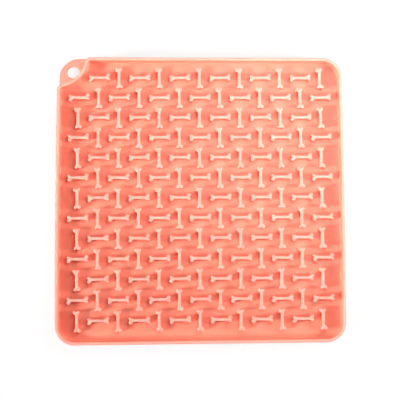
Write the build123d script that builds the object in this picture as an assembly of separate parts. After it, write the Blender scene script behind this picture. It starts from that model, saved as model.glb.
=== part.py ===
from build123d import *
import os
from math import acos, atan2, degrees, isclose, radians, sqrt, tan

# Square silicone lick mat: a shallow tray with a raised rim, a field of small bones
# standing on its floor, a flat hanging tab in one corner and suction cups underneath.
# Millimetres, +Z up, origin under the middle of the mat on the surface that it lies on.
# The tab is at the back left, towards -X and +Y.

# Tray: floor sheet and rim
mat_side = 200.0
corner_radius = 13.5
floor_thickness = 2.5
rim_height = 6.5
lip_width = 2.6
lip_rounding = 1.1
inner_wall_lean = 5.0
foot_fillet = 1.5
foot_land = 0.3

# Hanging tab, and the notch in the rim that goes round it
notch_radius = 19.2
notch_end_radius = 4.5
tab_gap = 0.6
tab_straight_edge = 4.6
tab_thickness = 2.5
tab_edge_rounding = 0.6
tab_end_rounding = 1.5
hole_web = 0.75
hole_outer_web = 4.051

# Bones: one shape, laid crosswise and lengthwise in turn
bone_pitch = 14.15
bone_length = 14.75
bone_height = 4.0
bone_shaft_width = 2.0
bone_edge_rounding = 0.4
large_lobe_radius = 1.25
large_lobe_offset = 1.45
large_taper_length = 2.7
small_lobe_radius = 1.05
small_lobe_offset = 0.85
small_taper_length = 1.9
cleft_radius = 0.5
shaft_blend_radius = 1.5
bone_stagger_x = 0.27
bone_stagger_y = 0.2
bone_field_shift = 1.0
bone_clearance = 0.05

# Suction cups under the floor
cup_rows = 5
cup_spacing = 36.0
cup_height = 3.5
cup_lip_radius = 11.5
cup_lip_land = 0.8
cup_lip_thickness = 0.8
cup_neck_radius = 6.5
cup_neck_height = 0.8
cup_bowl_depth = 2.2

# Largest share of an edge or of a thickness that a rounding on it may take
rounding_share = 0.45

# Heights and insets that follow from the sizes above
half_side = mat_side / 2
underside = cup_height
floor_top = underside + floor_thickness
rim_top = floor_top + rim_height
foot_inset = lip_width + rim_height * tan(radians(inner_wall_lean))
fillet_inset = foot_inset + foot_fillet * tan(radians(90 - inner_wall_lean) / 2)
floor_inset = fillet_inset + foot_land
tab_corner = Vector(-half_side, half_side)
tab_radius = notch_radius - tab_gap
tab_corner_radius = tab_radius - tab_straight_edge
tab_tip = tab_corner_radius * (sqrt(2) - 1)
hole_radius = (tab_radius - hole_web - hole_outer_web - tab_tip) / 2
hole_inset = (tab_radius - hole_web - hole_radius) / sqrt(2)

os.makedirs("parts", exist_ok=True)


def save(shape, node):
    export_step(shape, f"parts/{node}.step")


# Outlines seen from above
def sheet_outline(side, radius):
    return RectangleRounded(side, side, radius)


def notch_disc(radius):
    return Pos(tab_corner.X, tab_corner.Y) * Circle(radius)


def floor_outline():
    sheet = sheet_outline(mat_side - 2 * floor_inset, corner_radius - floor_inset)
    return sheet - notch_disc(notch_radius + floor_inset)


# Tray floor: a flat sheet inside the rim
tray_floor = Pos(0, 0, underside) * extrude(floor_outline(), floor_thickness)
save(tray_floor, "tray_floor")


# Cross-section of the rim: x is the distance in from the outer face, y is the height
def rim_section():
    corners = [
        (0, underside),
        (0, rim_top),
        (lip_width, rim_top),
        (foot_inset, floor_top),
        (floor_inset, floor_top),
        (floor_inset, underside),
    ]
    section = make_face(Polyline(*corners, close=True))
    lip_corners = section.vertices().group_by(Axis.Y)[-1]
    section = fillet(lip_corners, min(lip_rounding, rounding_share * lip_width))
    foot_corner = section.vertices().sort_by_distance((foot_inset, floor_top))[0]
    return fillet(foot_corner, foot_fillet)


# The section stood up at a point of the outline, with its inset running inwards
def section_at(section, place, inward):
    along = (inward.Y, -inward.X, 0)
    return Plane(origin=place, x_dir=inward, z_dir=along) * section


def upright(place):
    return Axis(place, (0, 0, 1))


# Each end of the notch turns back into the side of the mat on a small arc
end_drop = sqrt((notch_radius + notch_end_radius) ** 2 - notch_end_radius**2)
end_slant = degrees(atan2(notch_end_radius, end_drop))
left_end_centre = tab_corner + Vector(notch_end_radius, -end_drop)
back_end_centre = tab_corner + Vector(end_drop, -notch_end_radius)


# The rim runs round the outline: four straight sides, three round corners, the two small
# end arcs and the notch. A band of the base sheet lies under it, out to the edge.
def make_rim_wall():
    section = rim_section()
    within_end = Pos(notch_end_radius / 2, 0) * Rectangle(notch_end_radius, 2 * rim_top)
    end_section = section & within_end
    straight = half_side - corner_radius
    to_right = Vector(1, 0)
    to_back = Vector(0, 1)

    left_start = section_at(section, Vector(-half_side, left_end_centre.Y), to_right)
    front_start = section_at(section, Vector(-straight, -half_side), to_back)
    right_start = section_at(section, Vector(half_side, -straight), -to_right)
    back_start = section_at(section, Vector(straight, half_side), -to_back)
    pieces = [
        extrude(left_start, left_end_centre.Y + straight),
        extrude(front_start, 2 * straight),
        extrude(right_start, 2 * straight),
        extrude(back_start, straight - back_end_centre.X),
    ]

    front_left = section_at(section, Vector(-half_side, -straight), to_right)
    front_right = section_at(section, Vector(straight, -half_side), to_back)
    back_right = section_at(section, Vector(half_side, straight), -to_right)
    pieces += [
        revolve(front_left, upright(Vector(-straight, -straight)), 90),
        revolve(front_right, upright(Vector(straight, -straight)), 90),
        revolve(back_right, upright(Vector(straight, straight)), 90),
    ]

    towards_left_end = (left_end_centre - tab_corner).normalized()
    notch_start = tab_corner + towards_left_end * notch_radius
    back_end = section_at(end_section, Vector(back_end_centre.X, half_side), -to_back)
    left_end = section_at(end_section, notch_start, towards_left_end)
    notch = section_at(section, notch_start, towards_left_end)
    pieces += [
        revolve(back_end, upright(back_end_centre), 90 - end_slant),
        revolve(left_end, upright(left_end_centre), 90 - end_slant),
        revolve(notch, upright(tab_corner), 90 - 2 * end_slant),
    ]

    band = sheet_outline(mat_side, corner_radius) - notch_disc(notch_radius) - floor_outline()
    pieces.append(Pos(0, 0, underside) * extrude(band, floor_thickness))
    return pieces[0].fuse(*pieces[1:]).clean()


save(make_rim_wall(), "rim_wall")


# Hanging tab: the corner of the base sheet outside the rim, with a hole for a hook.
# A narrow gap parts it from the rim, so that it can bend about the root of the notch.
def make_hang_tab():
    outline = sheet_outline(mat_side, tab_corner_radius) & notch_disc(tab_radius)
    ends = outline.vertices().sort_by_distance(tab_corner)[-2:]
    outline = fillet(ends, min(tab_end_rounding, rounding_share * tab_straight_edge))
    plate = Pos(0, 0, underside) * extrude(outline, tab_thickness)
    flat_faces = plate.faces().filter_by(Axis.Z)
    plate = fillet(flat_faces.edges(), min(tab_edge_rounding, rounding_share * tab_thickness))
    hole_place = tab_corner + Vector(hole_inset, -hole_inset, underside + tab_thickness / 2)
    return plate - Pos(hole_place) * Cylinder(hole_radius, tab_thickness)


save(make_hang_tab(), "hang_tab")


# A taper from a round root to a round lobe, with straight sides touching both
def taper(root, root_radius, lobe, lobe_radius):
    reach = lobe - root
    slope = degrees(acos((root_radius - lobe_radius) / reach.length))
    left = reach.normalized().rotate(Axis.Z, slope)
    right = reach.normalized().rotate(Axis.Z, -slope)
    sides = Polyline(
        root + left * root_radius,
        lobe + left * lobe_radius,
        lobe + right * lobe_radius,
        root + right * root_radius,
        close=True,
    )
    root_round = Pos(root) * Circle(root_radius)
    return make_face(sides) + root_round + Pos(lobe) * Circle(lobe_radius)


# One bone lying along X: a shaft with two lobes at each end and a round cleft between them.
# The larger lobe is at the back on the right end and at the front on the left end.
large_lobe = Vector(bone_length / 2 - large_lobe_radius, large_lobe_offset)
small_lobe = Vector(bone_length / 2 - small_lobe_radius, -small_lobe_offset)


# Centre of the arc that touches both lobes from outside
def cleft_centre():
    between = small_lobe - large_lobe
    to_large = large_lobe_radius + cleft_radius
    to_small = small_lobe_radius + cleft_radius
    along = (to_large**2 - to_small**2 + between.length**2) / (2 * between.length)
    outward = sqrt(to_large**2 - along**2)
    direction = between.normalized()
    return large_lobe + direction * along + direction.rotate(Axis.Z, 90) * outward


def make_bone():
    half_shaft = bone_shaft_width / 2
    large_root = Vector(large_lobe.X - large_taper_length, 0)
    small_root = Vector(small_lobe.X - small_taper_length, 0)
    cleft = cleft_centre()
    knob = taper(large_root, half_shaft, large_lobe, large_lobe_radius)
    knob += taper(small_root, half_shaft, small_lobe, small_lobe_radius)
    knob += make_face(Polyline(large_lobe, cleft, small_lobe, close=True))
    knob -= Pos(cleft) * Circle(cleft_radius)
    shaft = Rectangle(2 * max(large_root.X, small_root.X), bone_shaft_width)
    outline = shaft + knob + Rot(0, 0, 180) * knob
    necks = outline.vertices().filter_by(lambda vertex: isclose(abs(vertex.Y), half_shaft))
    outline = fillet(necks, shaft_blend_radius)
    body = extrude(outline, bone_height)
    top_edges = body.faces().sort_by(Axis.Z)[-1].edges()
    return Pos(0, 0, floor_top) * fillet(top_edges, bone_edge_rounding)


# A bone is left out where one of its lobes would stand on the foot of the rim's wall,
# at the notch or in a round corner
def clear_of_wall(spot):
    notch_foot = notch_radius + fillet_inset + bone_clearance
    corner_foot = corner_radius - fillet_inset - bone_clearance
    corner_reach = half_side - corner_radius
    for lobe, radius in [(large_lobe, large_lobe_radius), (small_lobe, small_lobe_radius)]:
        for end in [lobe, -lobe]:
            place = (spot * Pos(end)).position
            into_corner = Vector(abs(place.X) - corner_reach, abs(place.Y) - corner_reach)
            if (place - tab_corner).length - radius < notch_foot:
                return False
            if min(into_corner.X, into_corner.Y) > 0 and into_corner.length + radius > corner_foot:
                return False
    return True


# Rows of bones, from back to front: crosswise and lengthwise bones take turns along a row
# and from row to row, and each kind stands a little to its own side of the grid.
bone = make_bone()
bone_room = mat_side - 2 * (fillet_inset + bone_field_shift + bone_stagger_x + bone_clearance)
bones_per_row = int((bone_room - bone_length) / bone_pitch) + 1
first_bone = (bones_per_row - 1) * bone_pitch / 2
for row in range(bones_per_row):
    row_bones = []
    for column in range(bones_per_row):
        crosswise = (row + column) % 2 == 1
        side = 1 if crosswise else -1
        x = column * bone_pitch - first_bone + side * bone_stagger_x
        y = first_bone - row * bone_pitch + side * bone_stagger_y + bone_field_shift
        spot = Pos(x, y) * Rot(0, 0, 0 if crosswise else -90)
        if clear_of_wall(spot):
            row_bones.append(spot * bone)
    save(Compound(row_bones), f"bone_row_{row + 1:02d}")


# One suction cup: a short neck that flares to a thin lip over a shallow round bowl
def make_cup():
    bowl_edge = cup_lip_radius - cup_lip_land
    bowl_radius = (bowl_edge**2 + cup_bowl_depth**2) / (2 * cup_bowl_depth)
    outside = Polyline(
        (0, cup_bowl_depth),
        (0, cup_height),
        (cup_neck_radius, cup_height),
        (cup_neck_radius, cup_height - cup_neck_height),
        (cup_lip_radius, cup_lip_thickness),
        (cup_lip_radius, 0),
        (bowl_edge, 0),
    )
    bowl = RadiusArc((bowl_edge, 0), (0, cup_bowl_depth), -bowl_radius)
    return revolve(Plane.XZ * make_face(outside + bowl), Axis.Z)


# Suction cups in a square field under the floor, from back left to front right
cup = make_cup()
first_cup = (cup_rows - 1) * cup_spacing / 2
for row in range(cup_rows):
    for column in range(cup_rows):
        spot = Pos(column * cup_spacing - first_cup, first_cup - row * cup_spacing)
        save(spot * cup, f"suction_cup_{row * cup_rows + column + 1:02d}")
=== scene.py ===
import bpy
from math import acos, atan2, cos, pi, radians, sin, sqrt, tan
from mathutils import Matrix, Vector


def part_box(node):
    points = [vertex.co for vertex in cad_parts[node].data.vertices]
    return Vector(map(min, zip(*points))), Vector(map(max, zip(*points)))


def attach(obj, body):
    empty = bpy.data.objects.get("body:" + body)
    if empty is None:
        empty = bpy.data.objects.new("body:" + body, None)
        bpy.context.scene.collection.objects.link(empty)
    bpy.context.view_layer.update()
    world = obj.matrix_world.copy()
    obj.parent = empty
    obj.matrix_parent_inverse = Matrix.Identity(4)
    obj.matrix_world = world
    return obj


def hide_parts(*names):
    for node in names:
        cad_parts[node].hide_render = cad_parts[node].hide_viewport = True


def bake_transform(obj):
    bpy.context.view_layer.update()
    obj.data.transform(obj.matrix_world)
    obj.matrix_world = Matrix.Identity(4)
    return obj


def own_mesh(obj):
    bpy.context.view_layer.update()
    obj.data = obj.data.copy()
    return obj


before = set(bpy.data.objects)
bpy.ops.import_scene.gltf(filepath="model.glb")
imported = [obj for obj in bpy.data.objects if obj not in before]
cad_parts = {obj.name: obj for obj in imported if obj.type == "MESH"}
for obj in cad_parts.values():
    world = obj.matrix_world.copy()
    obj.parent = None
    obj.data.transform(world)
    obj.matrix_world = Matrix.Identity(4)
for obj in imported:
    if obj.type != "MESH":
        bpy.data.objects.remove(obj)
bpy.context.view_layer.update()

# Tray: the floor sheet and the raised rim, moulded as one sheet of soft coral silicone.
# The rim stands nearly upright, with a rounded lip, runs into the floor in a small fillet
# and turns round the hanging tab in a notch at the back left corner.
MM = 0.001
half_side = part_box("rim_wall")[1].x
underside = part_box("rim_wall")[0].z
rim_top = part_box("rim_wall")[1].z
floor_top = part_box("tray_floor")[1].z
corner_radius = 13.5 * MM
side_swell = 0.3 * MM
right_swell = 0.55 * MM
side_draw = 0.75 * MM
back_draw = 0.65 * MM
front_skew = 0.65 * MM
notch_radius = 19.2 * MM
notch_end_radius = 4.5 * MM
lip_width = 2.25 * MM
lip_rounding = 0.85 * MM
wall_lean = radians(3)
foot_fillet = 0.9 * MM
floor_border = 0.5 * MM
corner_steps = 12
side_steps = 10
notch_steps = 18
notch_end_steps = 8
rounding_steps = 6
merge_distance = 0.01 * MM
smooth_angle = radians(50)
tab_corner = Vector((-half_side, half_side))
end_drop = sqrt((notch_radius + notch_end_radius) ** 2 - notch_end_radius**2)
end_slant = atan2(notch_end_radius, end_drop)
left_end_centre = tab_corner + Vector((notch_end_radius, -end_drop))
back_end_centre = tab_corner + Vector((end_drop, -notch_end_radius))


def arc(centre, radius, start, end, steps):
    """Points of an arc seen from above, both ends included, angles in radians."""
    angles = [start + (end - start) * step / steps for step in range(steps + 1)]
    return [centre + radius * Vector((cos(angle), sin(angle))) for angle in angles]


def along_side(start, end):
    """Points between two corners, both left out."""
    return [start.lerp(end, step / side_steps) for step in range(1, side_steps)]


def settle(place):
    """The soft sheet doesn't lie quite square: its sides swell, its back draws in, its front is askew."""
    across = place.x / half_side
    back = place.y / half_side
    x = place.x + across * (side_swell - side_draw * back**2) + right_swell * max(across, 0) ** 2
    y = place.y - back_draw * (1 + back) / 2 + front_skew * across * (1 - back) / 2
    return Vector((x, y))


def tray_outline():
    """Outer edge of the rim from above: three rounded corners and the notch round the tab."""
    reach = half_side - corner_radius
    corner_starts = [
        (Vector((-reach, -reach)), pi),
        (Vector((reach, -reach)), 1.5 * pi),
        (Vector((reach, reach)), 0),
    ]
    corners = [
        arc(centre, corner_radius, start, start + pi / 2, corner_steps) for centre, start in corner_starts
    ]
    back_end = arc(back_end_centre, notch_end_radius, pi / 2, pi - end_slant, notch_end_steps)
    notch = arc(tab_corner, notch_radius, -end_slant, end_slant - pi / 2, notch_steps)[1:-1]
    left_end = arc(left_end_centre, notch_end_radius, pi / 2 + end_slant, pi, notch_end_steps)
    outline = along_side(left_end[-1], corners[0][0]) + corners[0]
    outline += along_side(corners[0][-1], corners[1][0]) + corners[1]
    outline += along_side(corners[1][-1], corners[2][0]) + corners[2]
    outline += along_side(corners[2][-1], back_end[0]) + back_end
    return [settle(place) for place in outline + notch + left_end]


def start_plate(name, outline, height):
    """A flat plate with that outline, left in edit mode with its one face selected."""
    bpy.ops.object.select_all(action="DESELECT")
    bpy.ops.mesh.primitive_circle_add(vertices=len(outline), radius=half_side, fill_type="NGON")
    plate = bpy.context.object
    plate.name = name
    plate.data.name = name
    for vertex, place in zip(plate.data.vertices, outline):
        vertex.co = (place.x, place.y, height)
    faces_down = plate.data.polygons[0].normal.z < 0
    bpy.ops.object.mode_set(mode="EDIT")
    bpy.ops.mesh.select_mode(type="FACE")
    bpy.ops.mesh.select_all(action="SELECT")
    if faces_down:
        bpy.ops.mesh.flip_normals()
    return plate


def raise_face(height):
    """Raises the selected face on upright walls."""
    bpy.ops.mesh.extrude_region_move(TRANSFORM_OT_translate={"value": (0, 0, height)})


def step_in(inset, rise):
    """Steps the selected face in by an even inset and up or down by a rise."""
    bpy.ops.mesh.inset(thickness=inset, depth=rise, use_even_offset=True)


def follow_profile(profile):
    """Steps the selected face along a profile of (distance in, height) points."""
    for (inset, height), (next_inset, next_height) in zip(profile, profile[1:]):
        step_in(next_inset - inset, next_height - height)


def finish_shape(piece):
    """Back to object mode, shaded smooth, with flat faces kept flat by weighted normals."""
    bpy.ops.mesh.select_all(action="SELECT")
    bpy.ops.mesh.remove_doubles(threshold=merge_distance)
    bpy.ops.mesh.normals_make_consistent(inside=False)
    bpy.ops.object.mode_set(mode="OBJECT")
    bpy.ops.object.shade_smooth_by_angle(angle=smooth_angle)
    bpy.ops.object.modifier_add(type="WEIGHTED_NORMAL")
    piece.modifiers[-1].keep_sharp = True
    bpy.ops.object.modifier_apply(modifier=piece.modifiers[-1].name)


def lip_profile():
    """Outer rounding, flat lip and inner rounding of the rim, as (distance in, height)."""
    quarter = [pi / 2 * step / rounding_steps for step in range(rounding_steps + 1)]
    outer = [
        (lip_rounding * (1 - cos(turn)), rim_top - lip_rounding * (1 - sin(turn))) for turn in quarter
    ]
    sweep = pi / 2 - wall_lean
    shoulder = lip_width - lip_rounding * tan(sweep / 2)
    turns = [sweep * step / rounding_steps for step in range(rounding_steps + 1)]
    inner = [
        (shoulder + lip_rounding * sin(turn), rim_top - lip_rounding * (1 - cos(turn))) for turn in turns
    ]
    return outer + inner


def foot_profile():
    """Fillet from the rim's inner wall to the floor, as (distance in, height)."""
    sweep = pi / 2 - wall_lean
    foot_inset = lip_width + (rim_top - floor_top) * tan(wall_lean)
    middle = foot_inset + foot_fillet * tan(sweep / 2)
    turns = [wall_lean + sweep * step / rounding_steps for step in range(rounding_steps + 1)]
    return [
        (middle - foot_fillet * cos(turn), floor_top + foot_fillet * (1 - sin(turn))) for turn in turns
    ]


tray = start_plate("tray", tray_outline(), underside)
raise_face(rim_top - lip_rounding - underside)
follow_profile(lip_profile() + foot_profile())
step_in(floor_border, 0)
finish_shape(tray)


# Soft coral silicone: satin, with a fine moulded grain and a slight unevenness of tone.
# It lets some light through. The raised lip, bones and tab are painted paler towards their tops, a painted
# highlight for the light that falls on them and not on the shaded floor.
coral = (0.98, 0.26, 0.17, 1)
coral_light = (0.99, 0.3, 0.2, 1)
# Painted highlight colour for the tops of raised parts.
painted_highlight_coral = (0.99, 0.42, 0.33, 1)
silicone_glow = (1.0, 0.35, 0.2)
glow_depth = 2 * MM
silicone_ior = 1.41
tone_scale = 35
tone_detail = 3
tone_low = 0.3
tone_high = 0.7
grain_scale = 2200
grain_detail = 2
grain_strength = 0.1
grain_depth = 0.05 * MM


def coral_silicone(name, roughness, glow, painted_highlight_from, painted_highlight_full):
    """Silicone whose colour turns from coral to a pale painted-highlight tone between two heights."""
    material = bpy.data.materials.new(name)
    material.use_nodes = True
    nodes = material.node_tree.nodes
    links = material.node_tree.links
    shader = nodes["Principled BSDF"]
    place = nodes.new("ShaderNodeTexCoord")
    tone = nodes.new("ShaderNodeTexNoise")
    tone.inputs["Scale"].default_value = tone_scale
    tone.inputs["Detail"].default_value = tone_detail
    links.new(place.outputs["Object"], tone.inputs["Vector"])
    colours = nodes.new("ShaderNodeValToRGB")
    colours.color_ramp.elements[0].position = tone_low
    colours.color_ramp.elements[0].color = coral
    colours.color_ramp.elements[1].position = tone_high
    colours.color_ramp.elements[1].color = coral_light
    links.new(tone.outputs["Fac"], colours.inputs["Fac"])
    axes = nodes.new("ShaderNodeSeparateXYZ")
    links.new(place.outputs["Object"], axes.inputs["Vector"])
    # Painted highlight: the colour turns to the pale tone with height, standing in for the brighter light on
    # raised tops.
    height = nodes.new("ShaderNodeMapRange")
    height.inputs["From Min"].default_value = painted_highlight_from
    height.inputs["From Max"].default_value = painted_highlight_full
    links.new(axes.outputs["Z"], height.inputs["Value"])
    painted_highlight_mix = nodes.new("ShaderNodeMix")
    painted_highlight_mix.data_type = "RGBA"
    painted_highlight_mix.inputs["B"].default_value = painted_highlight_coral
    links.new(height.outputs["Result"], painted_highlight_mix.inputs["Factor"])
    links.new(colours.outputs["Color"], painted_highlight_mix.inputs["A"])
    links.new(painted_highlight_mix.outputs["Result"], shader.inputs["Base Color"])
    grain = nodes.new("ShaderNodeTexNoise")
    grain.inputs["Scale"].default_value = grain_scale
    grain.inputs["Detail"].default_value = grain_detail
    links.new(place.outputs["Object"], grain.inputs["Vector"])
    bump = nodes.new("ShaderNodeBump")
    bump.inputs["Strength"].default_value = grain_strength
    bump.inputs["Distance"].default_value = grain_depth
    links.new(grain.outputs["Fac"], bump.inputs["Height"])
    links.new(bump.outputs["Normal"], shader.inputs["Normal"])
    shader.inputs["Roughness"].default_value = roughness
    shader.inputs["IOR"].default_value = silicone_ior
    shader.inputs["Subsurface Weight"].default_value = glow
    shader.inputs["Subsurface Radius"].default_value = silicone_glow
    shader.inputs["Subsurface Scale"].default_value = glow_depth
    return material


# The lip's top is painted pale, a painted highlight.
tray_silicone = coral_silicone(
    "tray_silicone", roughness=0.45, glow=0.15, painted_highlight_from=rim_top - 0.8 * MM, painted_highlight_full=rim_top + 0.15 * MM
)
tray.data.materials.append(tray_silicone)
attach(tray, "mat")
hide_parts("tray_floor", "rim_wall")

# Bones: 168 small bones moulded on the floor, in 13 rows of crosswise and lengthwise ones.
# Each has a softly rounded top edge and two lobes at each end, one larger than the other.
bone_pitch = 14.15 * MM
bone_length = 14.75 * MM
bone_height = 4.0 * MM
bone_shaft_width = 1.9 * MM
bone_top_rounding = 0.4 * MM
rounding_short_step = 0.29
rounding_long_step = 0.71
large_lobe_radius = 1.25 * MM
large_lobe_offset = 1.55 * MM
small_lobe_radius = 1.05 * MM
small_lobe_offset = 0.92 * MM
large_taper_length = 1.9 * MM
small_taper_length = 1.4 * MM
cleft_radius = 0.3 * MM
large_lobe_steps = 5
small_lobe_steps = 4
bone_sink = 0.3 * MM
bone_stagger = Vector((0.27, 0.2)) * MM
bone_field_shift = 1.0 * MM
bone_rows = 13


def knob_outline():
    """Right end of a bone lying along X, from the front of the shaft to its back."""
    half_shaft = bone_shaft_width / 2
    large = Vector((bone_length / 2 - large_lobe_radius, large_lobe_offset))
    small = Vector((bone_length / 2 - small_lobe_radius, -small_lobe_offset))
    large_root = Vector((large.x - large_taper_length, 0))
    small_root = Vector((small.x - small_taper_length, 0))
    between = small - large
    to_large = large_lobe_radius + cleft_radius
    to_small = small_lobe_radius + cleft_radius
    along = (to_large**2 - to_small**2 + between.length_squared) / (2 * between.length)
    direction = between.normalized()
    outward = Vector((-direction.y, direction.x))
    cleft = large + direction * along + outward * sqrt(to_large**2 - along**2)
    small_reach = small - small_root
    large_reach = large - large_root
    small_slope = acos((half_shaft - small_lobe_radius) / small_reach.length)
    large_slope = acos((half_shaft - large_lobe_radius) / large_reach.length)
    small_side = atan2(small_reach.y, small_reach.x) - small_slope
    large_side = atan2(large_reach.y, large_reach.x) + large_slope
    small_touch = atan2(cleft.y - small.y, cleft.x - small.x)
    large_touch = atan2(cleft.y - large.y, cleft.x - large.x)
    cleft_bottom = cleft + (large - cleft).lerp(small - cleft, 0.5).normalized() * cleft_radius
    neck_front = Vector((small_root.x, -half_shaft))
    neck_back = Vector((large_root.x, half_shaft))
    small_lobe = arc(small, small_lobe_radius, small_side, small_touch, small_lobe_steps)
    large_lobe = arc(large, large_lobe_radius, large_touch, large_side, large_lobe_steps)
    return [neck_front] + small_lobe + [cleft_bottom] + large_lobe + [neck_back]


def make_bone(name, turn):
    """A bone at the middle of the mat, standing on the floor and turned about its middle."""
    knob = knob_outline()
    bone = start_plate(name, knob + [-point for point in knob], floor_top - bone_sink)
    raise_face(bone_sink + bone_height - bone_top_rounding)
    step_in(rounding_short_step * bone_top_rounding, rounding_long_step * bone_top_rounding)
    step_in(rounding_long_step * bone_top_rounding, rounding_short_step * bone_top_rounding)
    bpy.ops.mesh.select_all(action="SELECT")
    bpy.ops.mesh.normals_make_consistent(inside=False)
    bpy.ops.object.mode_set(mode="OBJECT")
    bone.data.transform(Matrix.Rotation(turn, 4, "Z"))
    bpy.ops.object.shade_smooth()
    return bone


def stand_bone(bone, place):
    """A copy of a bone, standing at a place on the floor."""
    copy = bone.copy()
    copy.data = bone.data.copy()
    copy.data.transform(Matrix.Translation((place.x, place.y, 0)))
    bpy.context.scene.collection.objects.link(copy)
    return copy


crosswise_bone = make_bone("crosswise_bone", 0)
lengthwise_bone = make_bone("lengthwise_bone", -pi / 2)
# The bones' tops are painted pale, a painted highlight.
bone_silicone = coral_silicone(
    "bone_silicone", roughness=0.42, glow=0.4, painted_highlight_from=floor_top + 2.4 * MM, painted_highlight_full=floor_top + 3.9 * MM
)
first_bone = (bone_rows - 1) * bone_pitch / 2
for row in range(bone_rows):
    row_bones = []
    for column in range(bone_rows):
        crosswise = (row + column) % 2 == 1
        side = 1 if crosswise else -1
        x = column * bone_pitch - first_bone + side * bone_stagger.x
        y = first_bone - row * bone_pitch + side * bone_stagger.y + bone_field_shift
        taken_by_tab = row + column == 0
        if not taken_by_tab:
            bone = crosswise_bone if crosswise else lengthwise_bone
            row_bones.append(stand_bone(bone, settle(Vector((x, y)))))
    bpy.ops.object.select_all(action="DESELECT")
    for bone in row_bones:
        bone.select_set(True)
    bpy.context.view_layer.objects.active = row_bones[0]
    bpy.ops.object.join()
    bone_row = bpy.context.object
    bone_row.name = f"bones_{row + 1:02d}"
    bone_row.data.name = bone_row.name
    bone_row.data.materials.append(bone_silicone)
    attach(bone_row, "mat")
    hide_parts(f"bone_row_{row + 1:02d}")
bpy.data.objects.remove(crosswise_bone)
bpy.data.objects.remove(lengthwise_bone)

# Hanging tab: the corner of the base sheet outside the rim, with a round hole for a hook.
# It is the same sheet as the tray and runs into the foot of the rim, where it bends.
tab_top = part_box("hang_tab")[1].z
tab_corner_radius = 14 * MM
tab_edge_rounding = 0.6 * MM
tab_root_depth = 1.2 * MM
tab_draw = Vector((0.7, 0.4)) * MM
hole_radius = 4.2 * MM
hole_inset = 9.793 * MM
hole_steps = 48
hole_cutter_height = 4 * (tab_top - underside)
sharp_edge = radians(70)
tab_edge_steps = 3
hinge_gap = 0.6 * MM
bend_cuts = 8
inwards = Vector((1, -1)).normalized()


def tab_outline():
    """The tab from above: its rounded tip and the root that runs under the rim."""
    middle = tab_corner + tab_corner_radius * Vector((1, -1))
    tip = arc(middle, tab_corner_radius, pi, pi / 2, corner_steps)
    left_foot = Vector((-half_side, left_end_centre.y))
    back_foot = Vector((back_end_centre.x, half_side))
    root = arc(tab_corner, notch_radius + tab_root_depth, -end_slant, end_slant - pi / 2, notch_steps)
    return [settle(place) + tab_draw for place in [left_foot] + tip + [back_foot] + root]


tab = start_plate("hanging_tab", list(reversed(tab_outline())), underside)
raise_face(tab_top - underside)
bpy.ops.mesh.select_all(action="SELECT")
bpy.ops.mesh.normals_make_consistent(inside=False)
bpy.ops.object.mode_set(mode="OBJECT")
bpy.ops.object.select_all(action="DESELECT")
bpy.ops.mesh.primitive_cylinder_add(vertices=hole_steps, radius=hole_radius, depth=hole_cutter_height)
hole_cutter = bpy.context.object
hole_place = settle(tab_corner + hole_inset * Vector((1, -1))) + tab_draw
hole_cutter.location = (hole_place.x, hole_place.y, (tab_top + underside) / 2)
bpy.ops.object.select_all(action="DESELECT")
bpy.context.view_layer.objects.active = tab
tab.select_set(True)
bpy.ops.object.modifier_add(type="BOOLEAN")
tab.modifiers[-1].operation = "DIFFERENCE"
tab.modifiers[-1].solver = "EXACT"
tab.modifiers[-1].object = hole_cutter
bpy.ops.object.modifier_apply(modifier=tab.modifiers[-1].name)
bpy.data.objects.remove(hole_cutter)
bpy.ops.object.mode_set(mode="EDIT")
bpy.ops.mesh.select_mode(type="EDGE")
bpy.ops.mesh.select_all(action="DESELECT")
bpy.ops.mesh.edges_select_sharp(sharpness=sharp_edge)
bpy.ops.mesh.bevel(offset=tab_edge_rounding, segments=tab_edge_steps, affect="EDGES")
hinge_reach = notch_radius - hinge_gap
for cut in range(1, bend_cuts):
    place = tab_corner + hinge_reach * cut / bend_cuts * inwards
    bpy.ops.mesh.select_all(action="SELECT")
    bpy.ops.mesh.bisect(plane_co=(place.x, place.y, 0), plane_no=(1, -1, 0), use_fill=False)
finish_shape(tab)
# The tab's top is painted paler, painted light for a tab lying outside the tray's shade.
tab_silicone = coral_silicone(
    "tab_silicone", roughness=0.5, glow=0.6, painted_highlight_from=tab_top - 1.2 * MM, painted_highlight_full=tab_top + 0.4 * MM
)
tab.data.materials.append(tab_silicone)
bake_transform(tab)
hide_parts("hang_tab")

# Suction cups: 25 shallow cups moulded under the floor, 5 by 5, that hold the mat down.
# Each is a short neck that flares to a thin lip round a shallow bowl.
cup_height = underside
cup_spacing = 36 * MM
cup_rows = 5
cup_lip_radius = 11.5 * MM
cup_lip_land = 0.8 * MM
cup_lip_thickness = 0.8 * MM
cup_top_edge = 0.2 * MM
cup_bottom_edge = 0.15 * MM
cup_neck_radius = 6.5 * MM
cup_neck_height = 0.8 * MM
cup_bowl_depth = 2.2 * MM
cup_sides = 48
bowl_steps = 6


def ring_out(radius, next_radius, rise):
    """Draws the selected ring out to the next radius of a turned shape."""
    bpy.ops.mesh.extrude_edges_move(TRANSFORM_OT_translate={"value": (0, 0, rise)})
    bpy.ops.transform.resize(value=(next_radius / radius, next_radius / radius, 1))


def cup_profile():
    """Half section of a cup as (radius, height), from the neck round the lip to the bowl."""
    bowl_edge = cup_lip_radius - cup_lip_land
    bowl_radius = (bowl_edge**2 + cup_bowl_depth**2) / (2 * cup_bowl_depth)
    radii = [bowl_edge * (1 - step / bowl_steps) for step in range(1, bowl_steps)]
    bowl = [(r, sqrt(bowl_radius**2 - r**2) - bowl_radius + cup_bowl_depth) for r in radii]
    return [
        (cup_neck_radius, cup_height),
        (cup_neck_radius, cup_height - cup_neck_height),
        (cup_lip_radius - cup_top_edge, cup_lip_thickness),
        (cup_lip_radius, cup_lip_thickness - cup_top_edge),
        (cup_lip_radius, cup_bottom_edge),
        (cup_lip_radius - cup_bottom_edge, 0),
        (bowl_edge, 0),
    ] + bowl


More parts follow.
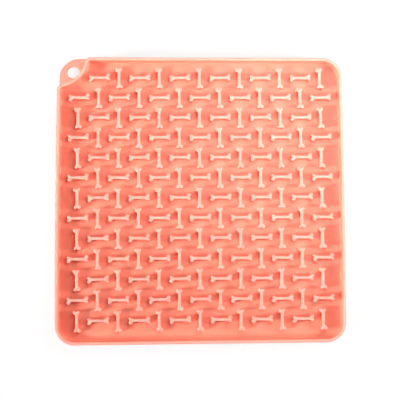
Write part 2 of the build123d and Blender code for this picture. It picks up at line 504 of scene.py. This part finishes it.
def make_cup(name, x, y):
    """A cup drawn out ring by ring along its half section, under a place on the floor."""
    profile = cup_profile()
    bpy.ops.object.select_all(action="DESELECT")
    bpy.ops.mesh.primitive_circle_add(vertices=cup_sides, radius=profile[0][0], fill_type="NOTHING")
    cup = bpy.context.object
    cup.name = name
    cup.data.name = name
    cup.data.transform(Matrix.Translation((0, 0, profile[0][1])))
    bpy.ops.object.mode_set(mode="EDIT")
    bpy.ops.mesh.select_mode(type="EDGE")
    bpy.ops.mesh.select_all(action="SELECT")
    for (radius, height), (next_radius, next_height) in zip(profile, profile[1:]):
        ring_out(radius, next_radius, next_height - height)
    bpy.ops.mesh.edge_face_add()
    bpy.ops.mesh.select_all(action="SELECT")
    bpy.ops.mesh.normals_make_consistent(inside=False)
    bpy.ops.object.mode_set(mode="OBJECT")
    cup.data.transform(Matrix.Translation((x, y, 0)))
    bpy.ops.object.shade_smooth_by_angle(angle=smooth_angle)
    return cup


cup_silicone = coral_silicone("cup_silicone", roughness=0.3, glow=0.6, painted_highlight_from=floor_top, painted_highlight_full=rim_top)
first_cup = (cup_rows - 1) * cup_spacing / 2
for row in range(cup_rows):
    for column in range(cup_rows):
        number = row * cup_rows + column + 1
        cup_x = column * cup_spacing - first_cup
        cup_y = first_cup - row * cup_spacing
        cup = make_cup(f"cup_{number:02d}", cup_x, cup_y)
        cup.data.materials.append(cup_silicone)
        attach(cup, "mat")
        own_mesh(cup)
        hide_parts(f"suction_cup_{number:02d}")

# Stage: white paper under the mat, a white backdrop, soft studio lamps and the camera.
# The paper and the backdrop are brightened for the camera alone, not for the mat,
# and two of the lamps are beams aimed past its middle, so the front left stays darker.
ground_size = 4
paper_colour = (0.9, 0.9, 0.9, 1)
paper_roughness = 0.9
paper_glow_share = 0.8
white = (1, 1, 1, 1)
ambient_strength = 0.16
bpy.ops.object.select_all(action="DESELECT")
bpy.ops.mesh.primitive_plane_add(size=ground_size)
ground = bpy.context.object
ground.name = "ground"
paper = bpy.data.materials.new("white_paper")
paper.use_nodes = True
paper_nodes = paper.node_tree.nodes
paper_links = paper.node_tree.links
paper_shader = paper_nodes["Principled BSDF"]
paper_shader.inputs["Base Color"].default_value = paper_colour
paper_shader.inputs["Roughness"].default_value = paper_roughness
glow = paper_nodes.new("ShaderNodeEmission")
path = paper_nodes.new("ShaderNodeLightPath")
share = paper_nodes.new("ShaderNodeMath")
share.operation = "MULTIPLY"
share.inputs[1].default_value = paper_glow_share
paper_links.new(path.outputs["Is Camera Ray"], share.inputs[0])
mix = paper_nodes.new("ShaderNodeMixShader")
paper_links.new(share.outputs["Value"], mix.inputs["Fac"])
paper_links.new(paper_shader.outputs["BSDF"], mix.inputs[1])
paper_links.new(glow.outputs["Emission"], mix.inputs[2])
paper_links.new(mix.outputs["Shader"], paper_nodes["Material Output"].inputs["Surface"])
ground.data.materials.append(paper)

world = bpy.data.worlds.new("studio")
world.use_nodes = True
backdrop = world.node_tree.nodes["Background"]
backdrop.inputs["Color"].default_value = white
seen = world.node_tree.nodes.new("ShaderNodeLightPath")
backdrop_strength = world.node_tree.nodes.new("ShaderNodeMath")
backdrop_strength.operation = "MAXIMUM"
backdrop_strength.inputs[1].default_value = ambient_strength
world.node_tree.links.new(seen.outputs["Is Camera Ray"], backdrop_strength.inputs[0])
world.node_tree.links.new(backdrop_strength.outputs["Value"], backdrop.inputs["Strength"])
bpy.context.scene.world = world


def studio_lamp(name, azimuth, elevation, distance, size, power, aim=(0, 0, 0), spread=180):
    """A soft box or beam, angles in degrees: azimuth 0 is in front of the mat, 90 to its right."""
    turn = radians(azimuth)
    rise = radians(elevation)
    data = bpy.data.lights.new(name, "AREA")
    data.shape = "RECTANGLE"
    data.size, data.size_y = size
    data.energy = power
    data.spread = radians(spread)
    lamp = bpy.data.objects.new(name, data)
    bpy.context.scene.collection.objects.link(lamp)
    towards = Vector((sin(turn) * cos(rise), -cos(turn) * cos(rise), sin(rise)))
    lamp.location = towards * distance
    lamp.rotation_euler = (lamp.location - Vector(aim)).to_track_quat("Z", "Y").to_euler()


back_right_corner = (0.1, 0.1, 0)
behind_mat = (0, 0.2, 0)
studio_lamp("left_lamp", azimuth=-75, elevation=22, distance=1.6, size=(0.3, 0.22), power=23)
studio_lamp(
    "left_beam", azimuth=-75, elevation=22, distance=1.6, size=(0.3, 0.22), power=0.34,
    aim=back_right_corner, spread=20,
)
studio_lamp("right_lamp", azimuth=83, elevation=18.5, distance=0.55, size=(0.11, 0.09), power=2.1)
studio_lamp(
    "right_beam", azimuth=83, elevation=18.5, distance=0.55, size=(0.11, 0.09), power=0.28,
    aim=behind_mat, spread=60,
)
studio_lamp("corner_lamp", azimuth=139, elevation=66, distance=0.335, size=(0.2, 0.2), power=0.53)
studio_lamp("back_right_lamp", azimuth=140, elevation=42, distance=0.45, size=(0.2, 0.2), power=0.45)

camera_aim = Vector((-0.08, -1.05, 10.0)) * MM
camera_distance = 606.8 * MM
camera_slant_back = radians(4.98)
camera_slant_left = radians(1.56)
camera_roll = radians(-0.23)
camera_lens = 78.5
camera_sensor = 36
camera = bpy.data.objects.new("camera", bpy.data.cameras.new("camera"))
bpy.context.scene.collection.objects.link(camera)
backwards = Vector((-tan(camera_slant_left), -tan(camera_slant_back), 1)).normalized()
right = Vector((-sin(camera_roll), cos(camera_roll), 0)).cross(backwards).normalized()
up = backwards.cross(right)
rotation = Matrix((right, up, backwards)).transposed().to_4x4()
camera.matrix_world = Matrix.Translation(camera_aim + backwards * camera_distance) @ rotation
camera.data.lens = camera_lens
camera.data.sensor_width = camera_sensor
bpy.context.scene.camera = camera
bpy.context.scene.view_settings.view_transform = "Standard"
